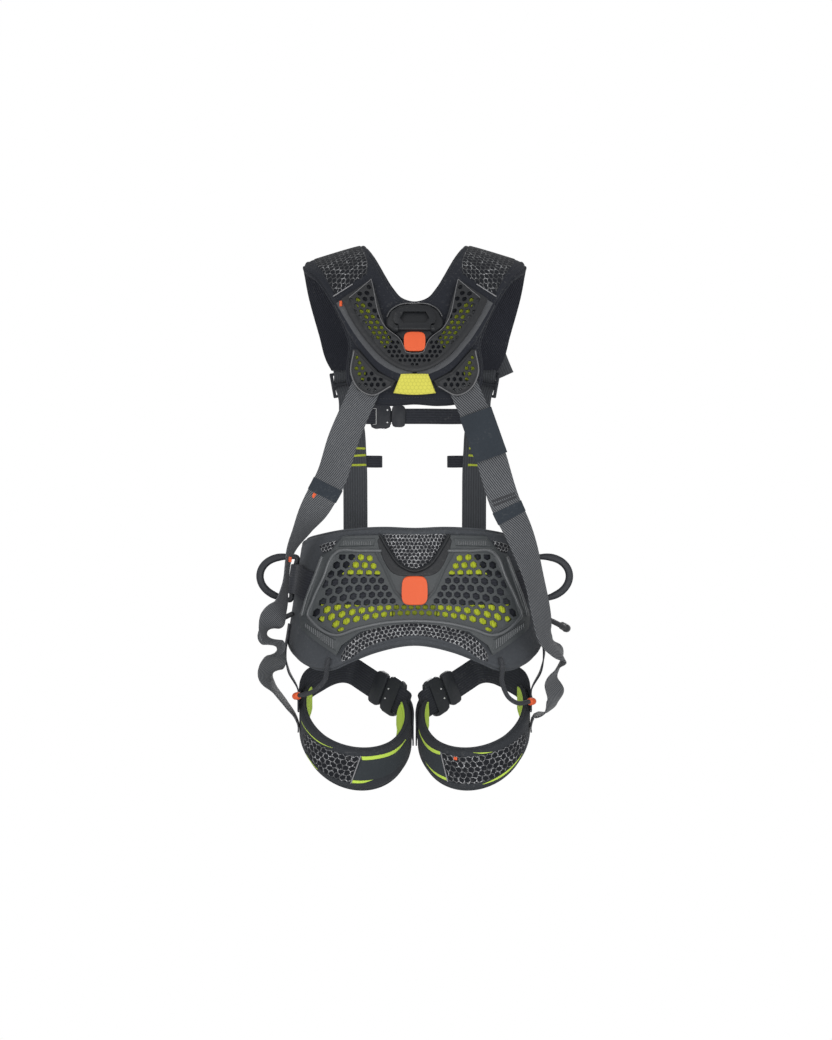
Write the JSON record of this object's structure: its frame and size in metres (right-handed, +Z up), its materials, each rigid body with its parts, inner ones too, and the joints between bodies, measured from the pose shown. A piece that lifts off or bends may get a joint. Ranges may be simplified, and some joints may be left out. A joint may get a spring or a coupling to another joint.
{
  "type": "tree climbing harness",
  "caption": "Full body tree climbing harness with a padded yoke, perforated back shells, a work belt with side rings, gear loops, leg loops and quick connect buckles.",
  "frame": {"origin": "middle of the climber's waist, at the height of the waist webbing", "axes": "+Z up, +Y the way the climber faces, +X to the climber's right"},
  "size_m": [0.485, 0.2842, 0.8144],
  "materials": {
    "pad": "matt black fabric",
    "liner": "yellow green mesh",
    "shell": "satin moulded",
    "twill": "grey twill",
    "webbing": "black woven",
    "metal": "black anodised",
    "bright": "bare",
    "hose": "matt",
    "orange": "matt"
  },
  "bodies": {
    "harness": {"yoke_pad": "pad", "shoulder_pad_left": "pad", "shoulder_pad_right": "pad", "belt_pad": "pad", "label_pocket": "pad", "leg_pad_left": "pad", "leg_pad_right": "pad", "yoke_liner": "liner", "belt_liner": "liner", "crossing_patch": "liner", "yoke_shell": "shell", "yoke_wing_left": "shell", "yoke_wing_right": "shell", "dorsal_plate": "shell", "lumbar_shell": "shell", "yoke_strap_left": "twill", "yoke_strap_right": "twill", "back_strap_left": "twill", "back_strap_right": "twill", "front_strap_left": "webbing", "front_strap_right": "webbing", "tie_in_loop_left": "webbing", "tie_in_loop_right": "webbing", "chest_strap_left": "webbing", "chest_strap_right": "webbing", "waist_webbing": "webbing", "leg_tab_left": "webbing", "leg_tab_right": "webbing", "leg_strap_left": "webbing", "leg_strap_right": "webbing", "leg_link_left": "webbing", "leg_link_right": "webbing", "riser_cord_left": "webbing", "riser_cord_right": "webbing", "shoulder_adjuster_left": "metal", "shoulder_adjuster_right": "metal", "chest_buckle_frame": "metal", "waist_buckle_frame": "metal", "leg_buckle_left_frame": "metal", "leg_buckle_right_frame": "metal", "riser_toggle_left": "orange", "riser_toggle_right": "orange"},
    "dorsal_ring": {"dorsal_ring": "metal"},
    "side_ring_left": {"side_ring_left": "metal"},
    "side_ring_right": {"side_ring_right": "metal"},
    "gear_loop_left": {"gear_loop_left": "hose"},
    "gear_loop_right": {"gear_loop_right": "hose"},
    "chest_buckle_tongue": {"chest_buckle_tongue": "metal"},
    "chest_buckle_lever_upper": {"chest_buckle_lever_upper": "bright"},
    "chest_buckle_lever_lower": {"chest_buckle_lever_lower": "bright"},
    "waist_buckle_tongue": {"waist_buckle_tongue": "metal"},
    "waist_buckle_lever_upper": {"waist_buckle_lever_upper": "bright"},
    "waist_buckle_lever_lower": {"waist_buckle_lever_lower": "bright"},
    "leg_buckle_left_tongue": {"leg_buckle_left_tongue": "metal"},
    "leg_buckle_left_lever_upper": {"leg_buckle_left_lever_upper": "bright"},
    "leg_buckle_left_lever_lower": {"leg_buckle_left_lever_lower": "bright"},
    "leg_buckle_right_tongue": {"leg_buckle_right_tongue": "metal"},
    "leg_buckle_right_lever_upper": {"leg_buckle_right_lever_upper": "bright"},
    "leg_buckle_right_lever_lower": {"leg_buckle_right_lever_lower": "bright"}
  },
  "joints": [
    {"name": "dorsal_ring_fold", "type": "hinge", "parent": "harness", "child": "dorsal_ring", "pos_m": [0, -0.14897, 0.3793], "axis": [1, 0, 0], "range_deg": [0, 95]},
    {"name": "side_ring_left_swing", "type": "hinge", "parent": "harness", "child": "side_ring_left", "pos_m": [-0.18556, -0.00716, 0.012], "axis": [-0.1503, -0.0058, -0.9886], "range_deg": [-40, 70]},
    {"name": "side_ring_right_swing", "type": "hinge", "parent": "harness", "child": "side_ring_right", "pos_m": [0.18556, -0.00716, 0.012], "axis": [-0.1503, 0.0058, 0.9886], "range_deg": [-40, 70]},
    {"name": "gear_loop_left_lift", "type": "hinge", "parent": "harness", "child": "gear_loop_left", "pos_m": [-0.18556, -0.04568, -0.04], "axis": [0.0397, 0.9992, 0], "range_deg": [0, 50]},
    {"name": "gear_loop_right_lift", "type": "hinge", "parent": "harness", "child": "gear_loop_right", "pos_m": [0.18556, -0.04568, -0.04], "axis": [0.0397, -0.9992, 0], "range_deg": [0, 50]},
    {"name": "chest_buckle_pull_out", "type": "slide", "parent": "harness", "child": "chest_buckle_tongue", "axis": [1, 0, 0], "range_m": [0, 0.03]},
    {"name": "chest_buckle_press_upper", "type": "slide", "parent": "harness", "child": "chest_buckle_lever_upper", "axis": [0, 0, -1], "range_m": [0, 0.0025], "stiffness_N_per_m": 600, "springref_m": -0.0005},
    {"name": "chest_buckle_press_lower", "type": "slide", "parent": "harness", "child": "chest_buckle_lever_lower", "axis": [0, 0, 1], "range_m": [0, 0.0025], "stiffness_N_per_m": 600, "springref_m": -0.0005},
    {"name": "waist_buckle_pull_out", "type": "slide", "parent": "harness", "child": "waist_buckle_tongue", "axis": [1, 0, 0], "range_m": [0, 0.03]},
    {"name": "waist_buckle_press_upper", "type": "slide", "parent": "harness", "child": "waist_buckle_lever_upper", "axis": [0, 0, -1], "range_m": [0, 0.0025], "stiffness_N_per_m": 600, "springref_m": -0.0005},
    {"name": "waist_buckle_press_lower", "type": "slide", "parent": "harness", "child": "waist_buckle_lever_lower", "axis": [0, 0, 1], "range_m": [0, 0.0025], "stiffness_N_per_m": 600, "springref_m": -0.0005},
    {"name": "leg_buckle_left_pull_out", "type": "slide", "parent": "harness", "child": "leg_buckle_left_tongue", "axis": [-0.7305, 0.5386, 0.4199], "range_m": [0, 0.03]},
    {"name": "leg_buckle_left_press_upper", "type": "slide", "parent": "harness", "child": "leg_buckle_left_lever_upper", "axis": [-0.3313, 0.2582, -0.9075], "range_m": [0, 0.0025], "stiffness_N_per_m": 600, "springref_m": -0.0005},
    {"name": "leg_buckle_left_press_lower", "type": "slide", "parent": "harness", "child": "leg_buckle_left_lever_lower", "axis": [0.3313, -0.2582, 0.9075], "range_m": [0, 0.0025], "stiffness_N_per_m": 600, "springref_m": -0.0005},
    {"name": "leg_buckle_right_pull_out", "type": "slide", "parent": "harness", "child": "leg_buckle_right_tongue", "axis": [0.7305, 0.5386, 0.4199], "range_m": [0, 0.03]},
    {"name": "leg_buckle_right_press_upper", "type": "slide", "parent": "harness", "child": "leg_buckle_right_lever_upper", "axis": [0.3313, 0.2582, -0.9075], "range_m": [0, 0.0025], "stiffness_N_per_m": 600, "springref_m": -0.0005},
    {"name": "leg_buckle_right_press_lower", "type": "slide", "parent": "harness", "child": "leg_buckle_right_lever_lower", "axis": [-0.3313, -0.2582, 0.9075], "range_m": [0, 0.0025], "stiffness_N_per_m": 600, "springref_m": -0.0005}
  ],
  "couplings": [
    {"joint": "chest_buckle_press_lower", "follows": "chest_buckle_press_upper", "ratio": 1},
    {"joint": "waist_buckle_press_lower", "follows": "waist_buckle_press_upper", "ratio": 1},
    {"joint": "leg_buckle_left_press_lower", "follows": "leg_buckle_left_press_upper", "ratio": 1},
    {"joint": "leg_buckle_right_press_lower", "follows": "leg_buckle_right_press_upper", "ratio": 1}
  ]
}
